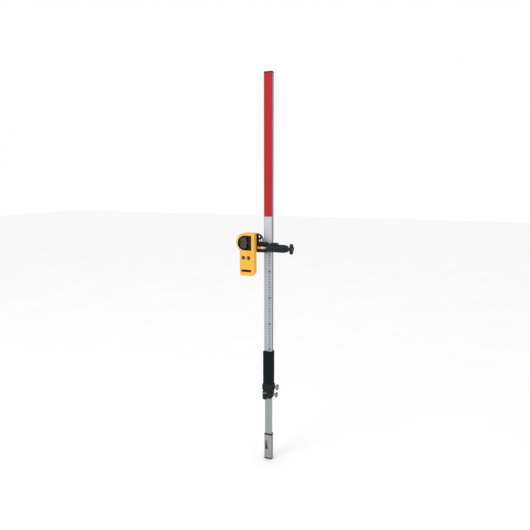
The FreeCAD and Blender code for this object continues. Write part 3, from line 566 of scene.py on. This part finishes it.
def seven_segments(name, digits, left, low, tall, front):
    """Plain bars of a switched-off liquid crystal display."""
    wide, thick = tall * 0.5, tall * 0.11
    spans = []
    for index in range(digits):
        x = left + index * (wide + tall * 0.24)
        for level in range(3):
            z = low + level * (tall - thick) / 2
            spans.append(((x + thick, front, z), (x + wide - thick, front + 0.05 * MM, z + thick)))
        for side in (0, wide - thick):
            for floor_z in (low + thick * 1.2, low + tall / 2 + thick * 0.5):
                spans.append(((x + side, front, floor_z),
                              (x + side + thick, front + 0.05 * MM, floor_z + tall / 2 - thick * 1.7)))
    add_piece(name, boxes(name, spans), "lcd_ink", "carriage", False)


def display_segments():
    """Two switched-off digits under a stack of level bars."""
    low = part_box("lcd_module")[0]
    front = low.y - 0.06 * MM
    seven_segments("display_digits", 2, low.x + 5.4 * MM, low.z + 9 * MM, 9 * MM, front)
    bars = []
    for rise, reach in ((22, 14), (25, 17), (28, 20), (31, 17), (34, 14)):
        bars.append(((low.x + 6 * MM, front, low.z + rise * MM),
                     (low.x + reach * MM, low.y, low.z + (rise + 0.8) * MM)))
    add_piece("display_bars", boxes("display_bars", bars), "lcd_ink", "carriage", False)


def button_face(node):
    """The middle of a button's face, and the height of the ink on it."""
    low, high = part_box(node)
    return (low.x + high.x) / 2, (low.z + high.z) / 2, low.y, low.y - 0.04 * MM


def button_symbols():
    """A power ring on one button and a loudspeaker on the other."""
    x, z, face, ink = button_face("power_button")
    half = 0.3 * MM
    marks = [((x - half, ink, z + 0.4 * MM), (x + half, face, z + 3 * MM))]
    dots, gap, ring = 29, 3, 2.3 * MM
    for step in range(gap, dots - gap):
        angle = math.pi / 2 + 2 * math.pi * (step + 0.5) / dots
        px, pz = x + ring * math.cos(angle), z + ring * math.sin(angle)
        marks.append(((px - half, ink, pz - half), (px + half, face, pz + half)))
    add_piece("power_symbol", boxes("power_symbol", marks), "pale_ink", "power_button", False)

    x, z, face, ink = button_face("volume_button")
    marks = [((x - 2.6 * MM, ink, z - 0.9 * MM), (x - 1.4 * MM, face, z + 0.9 * MM))]
    for step in range(4):
        tall = (0.9 + step * 0.4) * MM
        left = x + (step * 0.3 - 1.4) * MM
        marks.append(((left, ink, z - tall), (left + 0.3 * MM, face, z + tall)))
    for shift in (0, 1.1):
        tall = (0.8 + shift * 0.7) * MM
        marks.append(((x + (1 + shift) * MM, ink, z - tall), (x + (1.4 + shift) * MM, face, z + tall)))
    add_piece("sound_symbol", boxes("sound_symbol", marks), "pale_ink", "volume_button", False)


def door_ridges():
    """Grip ridges near the top of the battery door."""
    low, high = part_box("battery_door")
    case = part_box("back_shell")[1].y
    ridges = []
    for drop in (8, 10, 12, 14, 16):
        ridges.append(((low.x + 12 * MM, case - 0.1 * MM, high.z - drop * MM),
                       (high.x - 12 * MM, case + 0.45 * MM, high.z - (drop - 0.8) * MM)))
    add_piece("door_ridges", boxes("door_ridges", ridges), "yellow_plastic", "battery_door", False)


def plate_ribs():
    """Stiffening ribs across the openings of the bracket's plate."""
    front, back, top = -26 * MM, -23 * MM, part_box("clamp_bracket")[1].z
    spans = []
    sides = ((-34.5, -14.6, 18.6, 15.6), (-34.5, -29, 29.5, 4.5), (-23.5, -20.5, 29.5, 10.5))
    for left, right, low, high in sides:
        spans.append(((left * MM, front, top - low * MM), (right * MM, back, top - high * MM)))
    add_piece("plate_ribs", boxes("plate_ribs", spans), "arm_plastic", "carriage", False)


def jaw_ridges():
    """Grip ridges moulded along the outside of the sliding jaw's knuckle."""
    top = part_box("sliding_jaw")[1].z
    spans = []
    for step in range(4):
        left = (29 + 2.4 * step) * MM
        spans.append(((left, -29 * MM, top - 0.2 * MM), (left + 1.1 * MM, -13.5 * MM, top + 0.4 * MM)))
    add_piece("knuckle_ridges", boxes("knuckle_ridges", spans), "arm_plastic", "jaw", False)


def camera_and_light():
    """Camera in front and to the right of the staff, above its middle, with even white light."""
    tilt, turn = 0.1823, 0.3496
    reach, height, face = 1.65938, 1.08886, 0.00933
    camera = bpy.data.objects.new("camera", bpy.data.cameras.new("camera"))
    bpy.context.scene.collection.objects.link(camera)
    camera.location = (reach * math.sin(turn), -reach * math.cos(turn) - face, height)
    look = Vector((-math.sin(turn) * math.cos(tilt), math.cos(turn) * math.cos(tilt), -math.sin(tilt)))
    camera.rotation_euler = look.to_track_quat("-Z", "Y").to_euler()
    camera.data.sensor_width = 36.0
    camera.data.lens = 31.2669
    camera.data.shift_x = -0.005421
    camera.data.clip_end = 50
    bpy.context.scene.camera = camera
    world = bpy.data.worlds.new("studio")
    world.use_nodes = True
    world.node_tree.nodes["Background"].inputs["Color"].default_value = (1.0, 1.0, 1.0, 1.0)
    world.node_tree.nodes["Background"].inputs["Strength"].default_value = 1.0
    bpy.context.scene.world = world
    lamps = (("key", (-1.3, -2.2, 2.3), 1.4, 18), ("fill", (2.4, -1.4, 1.4), 2.0, 4))
    for name, spot, size, power in lamps:
        lamp = bpy.data.lights.new(name, "AREA")
        lamp.size = size
        lamp.energy = power
        light = bpy.data.objects.new(name, lamp)
        bpy.context.scene.collection.objects.link(light)
        light.location = spot
        light.rotation_euler = (Vector((0, 0, 0.8)) - light.location).to_track_quat("-Z", "Y").to_euler()
    bpy.context.scene.view_settings.view_transform = "Standard"


def floor():
    mesh = boxes("floor", [((-12, -12, -0.02), (12, 12, -0.0004))])
    piece = bpy.data.objects.new("floor", mesh)
    bpy.context.scene.collection.objects.link(piece)
    paper = Surface("paper", (0.93, 0.93, 0.93), 0.9)
    paper.tint(paper.ramp(paper.noise(3, 3.0), 0.4, 0.8), (0.95, 0.95, 0.95))
    mesh.materials.append(paper.material)


camera_and_light()
floor()
foam_grip()
scale_marks()
thumb_head("upper_thumb_head", "upper_screw_head", "upper_screw")
thumb_head("lower_thumb_head", "lower_screw_head", "lower_screw")
spindle()
star_knob()
display_segments()
button_symbols()
door_ridges()
plate_ribs()
jaw_ridges()
